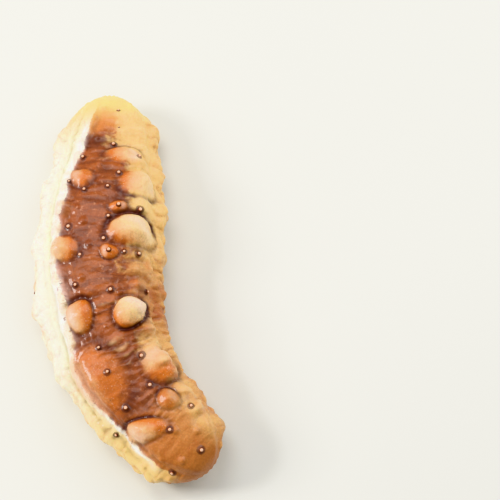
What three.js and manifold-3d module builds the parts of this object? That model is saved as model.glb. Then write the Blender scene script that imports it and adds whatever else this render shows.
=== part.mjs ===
// A sea cucumber of the curryfish kind, life size, lying on its tube feet in a gentle crescent.
// Millimetres, +Z up, the floor at Z = 0. The head is at -Y and the tail at +Y. The crescent
// bulges towards -X, so -X is its outer side and +X its hollow side.
//
// The body is one smooth loaf swept along a spine in the floor plane. A place on the skin is
// told by its distance along the spine from the head's tip, and by its angle round the section:
// 0 degrees is the hollow side, 90 the back, 180 the outer side and 270 the sole.

import * as THREE from 'three';
import { mergeVertices } from 'three/addons/utils/BufferGeometryUtils.js';
import Module from 'manifold-3d';

const manifold = await Module();
manifold.setup();

// Driving dimensions of the body
const LENGTH = 346; // along the spine
const WIDTH = 102; // at the widest place, without the fringe's papillae
const HEIGHT = 60; // of the back over the floor, without the warts
const FOOT_LENGTH = 3.5; // the sole's height over the floor
const SOLE_THICKNESS = 7.5; // of the pad that the tube feet grow from
const GAP = 0.3; // left between neighbouring pieces

// The spine's heading in degrees, from +Y towards +X, and the stretch over which it turns
const HEAD_HEADING = -32;
const TAIL_HEADING = 16;
const BEND = { from: 30, to: 222 };
const HEAD_TIP = [40.7, -162.1]; // so that the whole part is centred on the origin

// How the width and the height run from end to end
const HEAD_CAP = { reach: 52, roundness: 2.1 };
const TAIL_CAP = { reach: 50, roundness: 2 };
const NECK = { share: 0.74, from: 40, to: 200 }; // narrower behind the head
const RUMP = { share: 0.82, from: 228, to: 312 }; // and again before the tail
const HEAD_HEIGHT_SHARE = 0.86;
const TAIL_HEIGHT_SHARE = 0.72;
const CHIN = { rise: 15, reach: 40 }; // lifts the sole below the mouth
const TAIL_UNDERSIDE = { rise: 8, reach: 30 };
const TIP_LEVEL = { head: 27, tail: 21 };

// The section: a loaf with flanks that slope up to two shoulders
const WIDEST_LEVEL = 0.25; // share of the height
const BACK_ROUNDNESS = 2.9;
const SOLE_ROUNDNESS = 3.6;
const FLANK_SLOPE = 0.2; // share of the half width that a flank loses on its way up
const LEAN = 4; // of the back towards the hollow side, so the outer flank is the broader
const SHOULDER = { angle: 52, spread: 12, rise: 2.2 };
const FLANK_HOLLOW = { angle: 24, spread: 12, rise: -1.8 };

// Facets of the body
const STATIONS = 42;
const SIDES = 30;
const END_CROWDING = 0.7;

// Where the body is parted into lengths
const PARTINGS = { head: 66, front: 165, middle: 244, rear: 298 };

const rad = THREE.MathUtils.degToRad;
const { clamp, lerp, smoothstep } = THREE.MathUtils;

// A seeded draw of numbers between 0 and 1
function drawFrom(seed) {
  let state = seed;
  return () => {
    state = (1664525 * state + 1013904223) % 4294967296;
    return state / 4294967296;
  };
}

// The spine

function heading(along) {
  return rad(lerp(HEAD_HEADING, TAIL_HEADING, smoothstep(along, BEND.from, BEND.to)));
}

const SPINE_STEP = 0.5;
const spinePoints = [new THREE.Vector2(...HEAD_TIP)];
for (let along = 0; along < LENGTH; along += SPINE_STEP) {
  const turn = heading(along + SPINE_STEP / 2);
  const step = new THREE.Vector2(Math.sin(turn), Math.cos(turn)).multiplyScalar(SPINE_STEP);
  spinePoints.push(spinePoints.at(-1).clone().add(step));
}

function spine(along) {
  const index = Math.floor(clamp(along, 0, LENGTH - SPINE_STEP) / SPINE_STEP);
  const share = along / SPINE_STEP - index;
  return spinePoints[index].clone().lerp(spinePoints[index + 1], share);
}

// The body's surface

function cap({ reach, roundness }, distance) {
  const left = clamp(1 - distance / reach, 0, 1);
  return (1 - left ** roundness) ** (1 / roundness);
}

function bell(value, { angle, spread, rise }) {
  return rise * Math.exp(-(((value - angle) / spread) ** 2));
}

function lift({ rise, reach }, distance) {
  return rise * clamp(1 - distance / reach, 0, 1) ** 1.5;
}

function sectionAt(along) {
  const fromTail = LENGTH - along;
  const close = Math.min(cap(HEAD_CAP, along), cap(TAIL_CAP, fromTail));
  const neck = smoothstep(along, NECK.from, NECK.to);
  const rump = smoothstep(along, RUMP.from, RUMP.to);
  const breadth = lerp(NECK.share, 1, neck) * lerp(1, RUMP.share, rump);
  const back = HEIGHT * lerp(HEAD_HEIGHT_SHARE, 1, neck) * lerp(1, TAIL_HEIGHT_SHARE, rump);
  const sole = FOOT_LENGTH + lift(CHIN, along) + lift(TAIL_UNDERSIDE, fromTail);
  const tip = along < LENGTH / 2 ? TIP_LEVEL.head : TIP_LEVEL.tail;
  return {
    half: (WIDTH / 2) * breadth * close,
    top: lerp(tip, back, close ** 0.85),
    low: lerp(tip, sole, close),
    close,
  };
}

function surface(along, round) {
  const { half, top, low, close } = sectionAt(along);
  const middle = lerp(low, top, WIDEST_LEVEL);
  const c = Math.cos(rad(round));
  const s = Math.sin(rad(round));
  const upper = s > 0;
  const power = 2 / (upper ? BACK_ROUNDNESS : SOLE_ROUNDNESS);
  const height = Math.abs(s) ** power;
  const side = THREE.MathUtils.radToDeg(Math.atan2(s, Math.abs(c)));
  const relief = close * (bell(side, SHOULDER) + bell(side, FLANK_HOLLOW));
  const level = upper ? lerp(middle, top, height) + relief * s : lerp(middle, low, height);
  const slope = upper ? 1 - FLANK_SLOPE * height : 1;
  const lean = upper ? LEAN * close * s : 0;
  const across = (half * slope * Math.abs(c) ** power + relief * Math.abs(c)) * Math.sign(c) + lean;
  const turn = heading(along);
  const at = spine(along);
  return new THREE.Vector3(at.x + across * Math.cos(turn), at.y - across * Math.sin(turn), level);
}

// The skin's outward direction at a place, with the directions across and towards the tail
function skinFrame(along, round) {
  const step = 0.5;
  const tailwards = surface(along + step, round).sub(surface(along - step, round)).normalize();
  const aside = surface(along, round + step).sub(surface(along, round - step));
  const out = new THREE.Vector3().crossVectors(tailwards, aside).normalize();
  const across = new THREE.Vector3().crossVectors(out, tailwards).normalize();
  const forward = new THREE.Vector3().crossVectors(across, out);
  return new THREE.Matrix4().makeBasis(across, out, forward).setPosition(surface(along, round));
}

// Solids: three.js geometry in, joined and cut, three.js geometry out

function solidFrom(geometry) {
  const bare = new THREE.BufferGeometry();
  bare.setAttribute('position', geometry.getAttribute('position'));
  bare.setIndex(geometry.index);
  const merged = mergeVertices(bare, 1e-4);
  return new manifold.Manifold(new manifold.Mesh({
    numProp: 3,
    vertProperties: new Float32Array(merged.attributes.position.array),
    triVerts: new Uint32Array(merged.index.array),
  }));
}

function placed(geometry, frame) {
  return solidFrom(geometry.clone().applyMatrix4(frame));
}

function union(solids) {
  return manifold.Manifold.union(solids);
}

function largest(solid) {
  const pieces = solid.decompose();
  return pieces.reduce((best, piece) => (piece.volume() > best.volume() ? piece : best));
}

function geometryFrom(solid) {
  const mesh = solid.getMesh();
  const geometry = new THREE.BufferGeometry();
  geometry.setAttribute('position', new THREE.BufferAttribute(mesh.vertProperties, 3));
  geometry.setIndex(new THREE.BufferAttribute(mesh.triVerts, 1));
  geometry.computeVertexNormals();
  return geometry;
}

function lathe(profile, sides) {
  return new THREE.LatheGeometry(profile.map(([r, y]) => new THREE.Vector2(r, y)), sides);
}

// The whole body: a sphere whose rings and sides are moved out to the loaf's surface
function bodySolid() {
  const geometry = new THREE.SphereGeometry(1, SIDES, STATIONS);
  const position = geometry.getAttribute('position');
  for (let ring = 0; ring <= STATIONS; ring++) {
    const share = ring / STATIONS;
    const crowding = END_CROWDING * Math.sin(2 * Math.PI * share) / (2 * Math.PI);
    for (let side = 0; side <= SIDES; side++) {
      const place = surface(LENGTH * (share - crowding), (360 * (side % SIDES)) / SIDES);
      position.setXYZ(ring * (SIDES + 1) + side, place.x, place.y, place.z);
    }
  }
  return solidFrom(geometry);
}

// A mound on the skin: a squashed ball, sunk so far that its rim meets the skin at a slope
function mound({ along, round, length, breadth, height, sink, twist = 0 }, [sides, rings]) {
  const ball = new THREE.SphereGeometry(1, sides, rings);
  const rim = Math.sqrt(1 - sink ** 2);
  const tall = height / (1 - sink);
  ball.scale(breadth / 2 / rim, tall, length / 2 / rim);
  ball.translate(0, -sink * tall, 0);
  ball.rotateY(-rad(twist));
  return placed(ball, skinFrame(along, round));
}

// Large warts of the back: distance along, angle round, length along the body, breadth across
// it, height over the skin, how far the ball is sunk (0 is half a ball, 1 a flat patch), and the
// angle by which a wart that lies askew is turned
const WARTS = [
  [51, 118, 17, 36, 5, 0.4, 37],
  [56, 80, 17, 17, 4, 0.4],
  [84, 54, 32, 32, 6, 0.45],
  [101, 128, 64, 36, 5, 0.55],
  [118, 46, 14, 16, 3, 0.5],
  [139, 68, 24, 26, 8.5, 0.12],
  [146, 110, 26, 22, 7, 0.25],
  [183, 30, 20, 18, 3, 0.5],
  [194, 84, 12, 15, 4, 0.3],
  [198, 120, 22, 24, 5.5, 0.4],
  [214, 61, 28, 37, 6.5, 0.45],
  [230, 125, 18, 18, 2.5, 0.5],
  [233, 78, 11, 15, 3.5, 0.4],
  [257, 52, 25, 36, 5, 0.5],
  [259, 108, 18, 21, 4.5, 0.4],
  [282, 74, 17, 32, 4.5, 0.5],
].map(([along, round, length, breadth, height, sink, twist = 0]) => (
  { along, round, length, breadth, height, sink, twist }
));
const WART_FACETS = [10, 7];

// Blunt papillae in a row along each lower edge, larger in the middle of the body
const FRINGE = {
  hollow: { round: 6, first: 19, spacing: 37 },
  outer: { round: 174, first: 28, spacing: 46 },
};
const FRINGE_SIZE = { length: 32, breadth: 20, height: 4.6, sink: 0.35 };
const FRINGE_FACETS = [8, 6];
const fringePapillae = [];
for (const { round, first, spacing } of Object.values(FRINGE)) {
  for (let along = first; along < LENGTH - 24; along += spacing) {
    const { length, breadth, height, sink } = FRINGE_SIZE;
    const size = lerp(0.7, 1, Math.sin(Math.PI * along / LENGTH));
    fringePapillae.push({
      along, round, sink, length: length * size, breadth: breadth * size, height: height * size,
    });
  }
}

// Small cone-shaped papillae between the warts, in staggered rows with a seeded scatter
const SMALL_ROWS = [34, 55, 76, 97, 118, 139];
const SMALL_SPACING = 27;
const SMALL_WIDTH = 5.6;
const SMALL_HEIGHT = 2.2;
const SMALL_PROFILE = [[0, -0.9], [1, -0.9], [1, 0], [0.6, 0.75], [0, 1]];
const SMALL_SIDES = 6;
const drawSmall = drawFrom(7);
const smallPapillae = [];
SMALL_ROWS.forEach((row, index) => {
  const first = 20 + (index % 2) * SMALL_SPACING / 2;
  for (let step = first; step < LENGTH - 12; step += SMALL_SPACING) {
    const along = step + 12 * (drawSmall() - 0.5);
    const round = row + 9 * (drawSmall() - 0.5);
    const size = 0.85 + 0.3 * drawSmall();
    const here = surface(along, round);
    const covered = WARTS.some((wart) => {
      const reach = Math.max(wart.length, wart.breadth) / 2 + SMALL_WIDTH / 2;
      return here.distanceTo(surface(wart.along, wart.round)) < reach;
    });
    if (!covered) smallPapillae.push({ along, round, size });
  }
});

function smallPapilla({ along, round, size }) {
  const cone = lathe(SMALL_PROFILE, SMALL_SIDES);
  cone.scale(size * SMALL_WIDTH / 2, size * SMALL_HEIGHT, size * SMALL_WIDTH / 2);
  return placed(cone, skinFrame(along, round));
}

// Tube feet: three bands of two staggered rows, each foot ending in a flat sucker on the floor
const FOOT_BANDS = [-24, 0, 24];
const FOOT_ROW_OFFSET = 4.2;
const FOOT_SPACING = 17;
const FOOT_SIDES = 6;
const FOOT_RADIUS = 1.4;
const SUCKER_RADIUS = 2.4;
const SUCKER_THICKNESS = 1.5;
const FOOT_ROOT = 3;
const FOOT_REACH = FOOT_LENGTH + 2; // no foot grows where the sole is higher than this

function tubeFoot(along, across) {
  const root = sectionAt(along).low + FOOT_ROOT;
  const foot = lathe(
    [[0, 0], [SUCKER_RADIUS, 0], [FOOT_RADIUS, SUCKER_THICKNESS], [FOOT_RADIUS, root], [0, root]],
    FOOT_SIDES,
  );
  const turn = heading(along);
  const at = spine(along);
  foot.rotateX(Math.PI / 2);
  foot.translate(at.x + across * Math.cos(turn), at.y - across * Math.sin(turn), 0);
  return solidFrom(foot);
}

const tubeFeet = [];
FOOT_BANDS.forEach((band, bandIndex) => {
  for (const row of [-1, 1]) {
    const first = 24 + (row > 0 ? FOOT_SPACING / 2 : 0) + 3 * bandIndex;
    for (let along = first; along < LENGTH; along += FOOT_SPACING) {
      const { half, low } = sectionAt(along);
      const across = band + row * FOOT_ROW_OFFSET;
      if (Math.abs(across) < 0.75 * half && low < FOOT_REACH) tubeFeet.push(tubeFoot(along, across));
    }
  }
});

// Everything that grows from the body, joined to it
const wholeBody = union([
  bodySolid(),
  ...WARTS.map((wart) => mound(wart, WART_FACETS)),
  ...fringePapillae.map((papilla) => mound(papilla, FRINGE_FACETS)),
  ...smallPapillae.map(smallPapilla),
  ...tubeFeet,
]);

// Cuts square to the spine, and the level cut that parts the sole from the back
function lengthBetween(solid, from, to) {
  let piece = solid;
  for (const [along, way] of [[from, 1], [to, -1]]) {
    if (along > 0 && along < LENGTH) {
      const turn = heading(along);
      const normal = new THREE.Vector2(way * Math.sin(turn), way * Math.cos(turn));
      piece = piece.trimByPlane([normal.x, normal.y, 0], spine(along).dot(normal) + GAP / 2);
    }
  }
  return piece;
}

const SOLE_TOP = FOOT_LENGTH + SOLE_THICKNESS;
const aboveSole = (solid) => solid.trimByPlane([0, 0, 1], SOLE_TOP + GAP / 2);
const belowSole = (solid) => solid.trimByPlane([0, 0, -1], -(SOLE_TOP - GAP / 2));

// The mouth: a round disc let into the chin, with two rings of short, folded tentacles
const MOUTH = { along: 13, radius: 14, depth: 6, rim: 2, opening: 3.6, sides: 18 };
const TENTACLE_RINGS = [
  { count: 12, radius: 10.6, length: 5.6, width: 4.6, splay: 14 },
  { count: 8, radius: 6.2, length: 4.6, width: 3.8, splay: 3 },
];
const TENTACLE_ROOT = 1.6;
const TENTACLE_SIDES = 5;
const mouthFrame = skinFrame(MOUTH.along, 270);

function tentacle({ radius, length, width, splay }, turn) {
  const stalk = 0.28 * width;
  const form = lathe([
    [0, -TENTACLE_ROOT], [stalk, -TENTACLE_ROOT], [stalk, 0.4 * length],
    [0.5 * width, 0.75 * length], [0, length],
  ], TENTACLE_SIDES);
  form.rotateZ(-rad(splay));
  form.translate(radius, -MOUTH.rim, 0);
  form.rotateY(turn);
  return placed(form, mouthFrame);
}

const oralDisc = placed(lathe([
  [0, -MOUTH.depth], [0.7 * MOUTH.radius, -MOUTH.depth], [MOUTH.radius, -MOUTH.rim],
  [MOUTH.opening, 0.6 - MOUTH.rim], [0.5 * MOUTH.opening, -MOUTH.rim - 2], [0, -MOUTH.rim - 2],
], MOUTH.sides), mouthFrame);
const tentacles = TENTACLE_RINGS.flatMap((ring, index) => (
  Array.from({ length: ring.count }, (_, place) => (
    tentacle(ring, 2 * Math.PI * (place + index / 2) / ring.count)
  ))
));
const mouthSocket = placed(lathe([
  [0, -MOUTH.depth - GAP], [0.7 * MOUTH.radius + GAP, -MOUTH.depth - GAP],
  [MOUTH.radius + GAP, -MOUTH.rim - GAP], [MOUTH.radius + 1, 12], [0, 12],
], MOUTH.sides), mouthFrame);

// The vent: a puckered ring let into the tail's tip
const VENT = { radius: 6.5, depth: 5, folds: 9, foldRise: 0.45, opening: 1.6, tilt: 20 };
const ventTurn = heading(LENGTH);
const ventFrame = new THREE.Matrix4()
  .makeRotationZ(-ventTurn)
  .multiply(new THREE.Matrix4().makeRotationX(rad(VENT.tilt)))
  .setPosition(surface(LENGTH, 0));

function puckered(geometry) {
  const position = geometry.getAttribute('position');
  for (let i = 0; i < position.count; i++) {
    const x = position.getX(i);
    const z = position.getZ(i);
    const fold = Math.cos(VENT.folds * Math.atan2(z, x)) * Math.min(1, Math.hypot(x, z) / 4) ** 2;
    if (position.getY(i) > -1) position.setY(i, position.getY(i) + VENT.foldRise * fold);
  }
  return geometry;
}

const ventRing = placed(puckered(lathe([
  [0, -VENT.depth], [0.8 * VENT.radius, -VENT.depth], [VENT.radius, -1.6], [0.82 * VENT.radius, 0],
  [0.5 * VENT.radius, 0.6], [VENT.opening, -0.6], [0.5 * VENT.opening, -2.6], [0, -2.6],
], 2 * VENT.folds)), ventFrame);
const ventSocket = placed(lathe([
  [0, -VENT.depth - GAP], [0.8 * VENT.radius + GAP, -VENT.depth - GAP],
  [VENT.radius + GAP, -1.6], [VENT.radius + GAP, 8], [0, 8],
], 2 * VENT.folds), ventFrame);

// Colours and finishes of the sub-parts
const skinBack = { color: 0xb07a55, roughness: 0.35, metalness: 0 };
const skinEnds = { color: 0xd9a866, roughness: 0.35, metalness: 0 };
const skinSole = { color: 0xe8d6a8, roughness: 0.45, metalness: 0 };
const skinMouth = { color: 0xc98a5e, roughness: 0.4, metalness: 0 };

const { head, front, middle, rear } = PARTINGS;
const NODES = [
  ['head_end', lengthBetween(wholeBody, 0, head).subtract(mouthSocket), skinEnds],
  ['trunk_front', aboveSole(lengthBetween(wholeBody, head, front)), skinBack],
  ['trunk_middle', aboveSole(lengthBetween(wholeBody, front, middle)), skinBack],
  ['trunk_rear', aboveSole(lengthBetween(wholeBody, middle, rear)), skinBack],
  ['tail_end', lengthBetween(wholeBody, rear, LENGTH).subtract(ventSocket), skinEnds],
  ['sole_front', belowSole(lengthBetween(wholeBody, head, front)), skinSole],
  ['sole_middle', belowSole(lengthBetween(wholeBody, front, middle)), skinSole],
  ['sole_rear', belowSole(lengthBetween(wholeBody, middle, rear)), skinSole],
  ['mouth', union([oralDisc, ...tentacles]), skinMouth],
  ['vent', ventRing, skinMouth],
];

const seaCucumber = new THREE.Group();
for (const [name, solid, finish] of NODES) {
  const mesh = new THREE.Mesh(geometryFrom(largest(solid)), new THREE.MeshStandardMaterial(finish));
  mesh.name = name;
  seaCucumber.add(mesh);
}

export default seaCucumber;
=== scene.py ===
"""A sea cucumber of the curryfish kind, life size: its wet, warty skin, the small dark-ringed papillae of
its back, its tube feet, its mouth with the tentacles drawn in, and its vent.

The body is a smooth loaf swept along a spine in the floor plane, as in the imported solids. A place on the
skin is told by its distance along the spine from the head's tip, and by its angle round the section:
0 degrees is the hollow side of the bend, 90 the back, 180 the outer side and 270 the sole."""

import math

import bpy
import numpy as np
from bpy.props import FloatProperty, FloatVectorProperty, IntProperty, PointerProperty
from mathutils import Matrix, Vector, noise


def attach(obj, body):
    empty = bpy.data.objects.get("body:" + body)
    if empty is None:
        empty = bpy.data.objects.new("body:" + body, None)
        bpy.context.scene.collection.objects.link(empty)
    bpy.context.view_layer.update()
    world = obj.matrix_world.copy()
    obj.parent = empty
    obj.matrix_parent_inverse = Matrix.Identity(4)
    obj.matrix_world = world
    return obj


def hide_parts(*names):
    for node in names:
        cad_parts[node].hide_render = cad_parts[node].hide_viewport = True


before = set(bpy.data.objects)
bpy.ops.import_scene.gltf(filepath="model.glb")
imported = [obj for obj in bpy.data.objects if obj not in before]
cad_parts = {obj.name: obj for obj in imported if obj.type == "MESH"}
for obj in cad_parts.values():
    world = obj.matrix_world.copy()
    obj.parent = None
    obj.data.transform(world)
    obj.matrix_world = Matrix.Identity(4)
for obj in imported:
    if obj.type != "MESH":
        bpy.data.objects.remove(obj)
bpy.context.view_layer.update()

bl_info = {
    "name": "Sea Cucumber",
    "version": (1, 0, 0),
    "blender": (4, 5, 0),
    "location": "View3D > Sidebar > Sea Cucumber",
    "description": "Builds a life-size sea cucumber over its packed solids",
    "category": "Add Mesh",
}

MM = 0.001

# The photograph's width in pixels, and the camera's sensor in millimetres
PHOTO_WIDTH = 500
SENSOR_WIDTH = 36

# The solids' nodes that the one skin stands for
FLESH_NODES = (
    "head_end", "trunk_front", "trunk_middle", "trunk_rear", "tail_end",
    "sole_front", "sole_middle", "sole_rear",
)


def size(name, description, default):
    """A length that a user may change, in metres."""
    return FloatProperty(
        name=name, description=description, default=default, subtype="DISTANCE", unit="LENGTH"
    )


def angle(name, description, degrees):
    """An angle that a user may change."""
    return FloatProperty(
        name=name, description=description, default=math.radians(degrees), subtype="ANGLE", unit="ROTATION"
    )


def count(name, description, default):
    """A number of pieces that a user may change."""
    return IntProperty(name=name, description=description, default=default, min=1)


def colour(name, description, red, green, blue):
    """A colour given as it looks on screen, kept as linear light."""
    linear = [((c + 0.055) / 1.055) ** 2.4 if c > 0.04045 else c / 12.92 for c in (red, green, blue)]
    return FloatVectorProperty(
        name=name, description=description, default=linear, size=3, min=0, max=1, subtype="COLOR"
    )


# Settings that a user would change

class BodySettings(bpy.types.PropertyGroup):
    length: size("Length", "Along the spine, from the head's tip to the tail's", 0.346)
    width: size("Width", "At the widest place, without the papillae of the edges", 0.102)
    height: size("Height", "Of the back over the floor, without the warts", 0.060)
    foot_length: size("Foot length", "Height of the sole over the floor", 0.0035)
    head_heading: angle("Head heading", "The spine's direction at the head, from +Y towards +X", -32)
    tail_heading: angle("Tail heading", "The spine's direction at the tail, from +Y towards +X", 16)
    sides: count("Skin sides", "Faces round the body", 264)
    rings: count("Skin rings", "Faces from head to tail", 372)


class WartSettings(bpy.types.PropertyGroup):
    small_width: size("Papilla width", "Of the small papillae between the warts", 0.0062)
    small_height: size("Papilla height", "Of the small papillae between the warts", 0.0014)
    tip_width: size("Tip width", "Of the pale tip of a ringed papilla", 0.0021)
    tip_height: size("Tip height", "Of the pale tip over its papilla", 0.0012)
    flank_width: size("Flank papilla width", "Of the plain papillae of the flanks", 0.0105)
    flank_height: size("Flank papilla height", "Of the plain papillae of the flanks", 0.0022)


class SkinColours(bpy.types.PropertyGroup):
    back: colour("Back", "Red-brown of the back", 0.545, 0.28, 0.135)
    # Also the painted shade of the hollows, of low relief and of the grooves between the granules
    back_dark_and_shade: colour("Dark back", "Dark streaks of the back", 0.35, 0.165, 0.10)
    back_warm: colour("Warm back", "Orange-brown patches of the back", 0.63, 0.34, 0.155)
    back_mauve: colour("Mauve back", "Mauve-brown hollows of the back", 0.42, 0.25, 0.19)
    fleck: colour("Fleck", "Pale pinkish flecks of the back", 0.82, 0.57, 0.42)
    flank: colour("Flank", "Cream of the broad outer flank", 0.98, 0.97, 0.87)
    flank_shade: colour("Flank groove", "Greenish cream along the flank's groove", 0.86, 0.85, 0.70)
    flank_yellow: colour("Yellow flank", "Yellow of the flank towards the head", 0.97, 0.84, 0.54)
    # Painted highlight: the white laid along the shoulder's ridge
    ridge_highlight: colour("Ridge", "White of the ridge along the shoulder", 0.99, 0.98, 0.96)
    # Its darkest tone, at the bend, is partly painted shade
    edge: colour("Edge", "Red-brown of the hollow side at the bend", 0.68, 0.37, 0.20)
    edge_pale: colour("Pale edge", "Cream-yellow of the hollow side towards the tail", 0.99, 0.82, 0.52)
    head: colour("Head", "Ochre of the head end", 0.73, 0.46, 0.24)
    tail: colour("Tail", "Yellow rim of the tail end", 1.0, 0.905, 0.53)
    tail_warm: colour("Warm tail", "Orange middle of the tail end", 0.84, 0.54, 0.29)
    # Also the painted light on what stands out
    wart_cream_and_light: colour("Cream warts", "The palest warts", 1.0, 0.86, 0.62)
    wart_orange: colour("Orange warts", "The warmest warts", 0.82, 0.46, 0.19)
    # Painted highlight: the pinkish white laid on a wart's bright side
    wart_highlight: colour("Bright side", "Pinkish white of a wart's bright side", 0.97, 0.88, 0.82)
    ring: colour("Ring", "Dark ring round a small papilla", 0.30, 0.15, 0.13)
    tip: colour("Tip", "Pale tip of a small papilla", 0.94, 0.78, 0.66)
    crease: colour("Crease", "Shade of the grooves", 0.29, 0.12, 0.10)
    nub: colour("Nub", "Warm tip of a plain papilla", 0.92, 0.72, 0.42)
    sole: colour("Sole", "Cream of the sole", 0.90, 0.82, 0.62)
    sole_band: colour("Foot bands", "Tan of the bands that the tube feet stand in", 0.80, 0.62, 0.42)
    foot: colour("Foot", "Brown of the suckers", 0.66, 0.46, 0.30)
    mouth: colour("Mouth", "Tan of the disc round the mouth", 0.72, 0.46, 0.28)
    tentacle: colour("Tentacle", "Of the tentacles' shields", 0.88, 0.72, 0.50)


class FootSettings(bpy.types.PropertyGroup):
    spacing: size("Foot spacing", "Between the feet of a row", 0.0085)
    row_gap: size("Row gap", "Between the rows of a band", 0.0046)
    radius: size("Foot radius", "Of a foot's stalk", 0.0011)
    sucker_radius: size("Sucker radius", "Of the flat disc on the floor", 0.0019)


class StageSettings(bpy.types.PropertyGroup):
    azimuth: angle("Azimuth", "Where the camera stands, 0 looks along +Y", -14)
    elevation: angle("Elevation", "How far the camera looks down", 69)
    lens: FloatProperty(
        name="Lens", description="Focal length of the camera", default=100, subtype="DISTANCE_CAMERA"
    )
    pixel: size("Pixel", "What one pixel of the photograph covers on the floor", 0.00082)
    look_x: size("Look at X", "Where the camera looks on the floor", 0.1159)
    look_y: size("Look at Y", "Where the camera looks on the floor", 0.0124)
    floor: colour("Floor", "Pale studio floor", 0.86, 0.86, 0.84)


# The loaf: the smooth body under the warts, by the same formulas as in the solids. A cap has how far the
# rounding of an end reaches and how round it is. The neck and the rump have their share of the full width,
# and where they begin and end. The chin and the tail's underside have how far they rise, and how far that
# reaches. The shoulder and the hollow of the flank have their middle and spread in degrees, and their height

HEAD_TIP = (40.7 * MM, -162.1 * MM)
BEND = (30 * MM, 222 * MM)
HEAD_CAP = (52 * MM, 2.1)
TAIL_CAP = (50 * MM, 2.0)
NECK = (0.74, 40 * MM, 200 * MM)
RUMP = (0.82, 228 * MM, 312 * MM)
HEAD_HEIGHT_SHARE = 0.86
TAIL_HEIGHT_SHARE = 0.72
CHIN = (15 * MM, 40 * MM)
TAIL_UNDERSIDE = (8 * MM, 30 * MM)
TIP_LEVEL = (27 * MM, 21 * MM)
BACK_RISE = 0.85
LIFT_CURVE = 1.5
WIDEST_LEVEL = 0.25
BACK_ROUNDNESS = 2.9
SOLE_ROUNDNESS = 3.6
FLANK_SLOPE = 0.2
LEAN = 4 * MM
SHOULDER = (52, 12, 2.2 * MM)
FLANK_HOLLOW = (24, 12, -1.8 * MM)


def smooth(value, start, end):
    """0 before start, 1 after end, and an even slope between them."""
    t = np.clip((value - start) / (end - start), 0, 1)
    return t * t * (3 - 2 * t)


def blend(low, high, t):
    """The value at the share t of the way from low to high."""
    return low + (high - low) * t


def cap(shape, distance):
    """How full the section is at this distance from a tip, from 0 to 1."""
    reach, roundness = shape
    left = np.clip(1 - distance / reach, 0, 1)
    return (1 - left**roundness) ** (1 / roundness)


def hump(value, middle, spread, power=2):
    """1 at the middle, and less on both sides of it."""
    return np.exp(-(((value - middle) / spread) ** power))


def bell(value, shape):
    """A hump of a given height."""
    middle, spread, rise = shape
    return rise * hump(value, middle, spread)


def lift(shape, distance):
    """How far the underside rises at this distance from a tip."""
    rise, reach = shape
    return rise * np.clip(1 - distance / reach, 0, 1) ** LIFT_CURVE


def unit(vectors):
    return vectors / np.linalg.norm(vectors, axis=-1, keepdims=True)


class Loaf:
    """The smooth body. Its methods take arrays of places."""

    SPINE_STEP = 0.5 * MM

    def __init__(self, body):
        self.body = body
        middles = np.arange(0, body.length, self.SPINE_STEP) + self.SPINE_STEP / 2
        turns = self.heading(middles)
        steps = np.stack([np.sin(turns), np.cos(turns)], 1) * self.SPINE_STEP
        self.points = np.vstack([HEAD_TIP, HEAD_TIP + np.cumsum(steps, 0)])

    def heading(self, along):
        return blend(self.body.head_heading, self.body.tail_heading, smooth(along, *BEND))

    def spine(self, along):
        places = np.arange(len(self.points)) * self.SPINE_STEP
        return np.stack([np.interp(along, places, self.points[:, i]) for i in (0, 1)], -1)

    def section(self, along):
        """Half the width, the back's level, the sole's level, and how full the section is."""
        body = self.body
        from_tail = body.length - along
        full = np.minimum(cap(HEAD_CAP, along), cap(TAIL_CAP, from_tail))
        neck = smooth(along, *NECK[1:])
        rump = smooth(along, *RUMP[1:])
        breadth = blend(NECK[0], 1, neck) * blend(1, RUMP[0], rump)
        back = body.height * blend(HEAD_HEIGHT_SHARE, 1, neck) * blend(1, TAIL_HEIGHT_SHARE, rump)
        sole = body.foot_length + lift(CHIN, along) + lift(TAIL_UNDERSIDE, from_tail)
        tip = np.where(along < body.length / 2, *TIP_LEVEL)
        half = body.width / 2 * breadth * full
        return half, blend(tip, back, full**BACK_RISE), blend(tip, sole, full), full

    def surface(self, along, around):
        """The place on the smooth skin, for a distance along the spine and an angle in degrees."""
        half, top, low, full = self.section(along)
        middle = blend(low, top, WIDEST_LEVEL)
        c = np.cos(np.radians(around))
        s = np.sin(np.radians(around))
        upper = s > 0
        power = 2 / np.where(upper, BACK_ROUNDNESS, SOLE_ROUNDNESS)
        height = np.abs(s) ** power
        side = np.degrees(np.arctan2(s, np.abs(c)))
        relief = full * (bell(side, SHOULDER) + bell(side, FLANK_HOLLOW))
        level = np.where(upper, blend(middle, top, height) + relief * s, blend(middle, low, height))
        slope = np.where(upper, 1 - FLANK_SLOPE * height, 1)
        lean = np.where(upper, LEAN * full * s, 0)
        across = (half * slope * np.abs(c) ** power + relief * np.abs(c)) * np.sign(c) + lean
        turn = self.heading(along)
        at = self.spine(along)
        return np.stack([at[..., 0] + across * np.cos(turn), at[..., 1] - across * np.sin(turn), level], -1)

    def lie(self, along, around):
        """Unit vectors across the body, out of the skin and towards the tail, at each place."""
        step = 0.5
        tip = 0.01 * MM
        near = np.clip(along, MM, self.body.length - MM)
        tailwards = self.surface(near + step * MM, around) - self.surface(near - step * MM, around)
        aside = self.surface(near, around + step) - self.surface(near, around - step)
        out = unit(np.cross(tailwards, aside))
        turn = self.heading(along)
        ahead = np.stack([np.sin(turn), np.cos(turn), np.zeros_like(turn)], -1)
        out = np.where((along < tip)[..., None], -ahead, out)
        out = np.where((along > self.body.length - tip)[..., None], ahead, out)
        across = unit(np.cross(out, tailwards))
        return across, out, np.cross(across, out)

    def spot(self, along_mm, around):
        """Place and lie of one spot of the smooth skin."""
        along = np.array([along_mm * MM])
        across, out, forward = self.lie(along, np.array([float(around)]))
        return self.surface(along, around)[0], across[0], out[0], forward[0]
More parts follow.
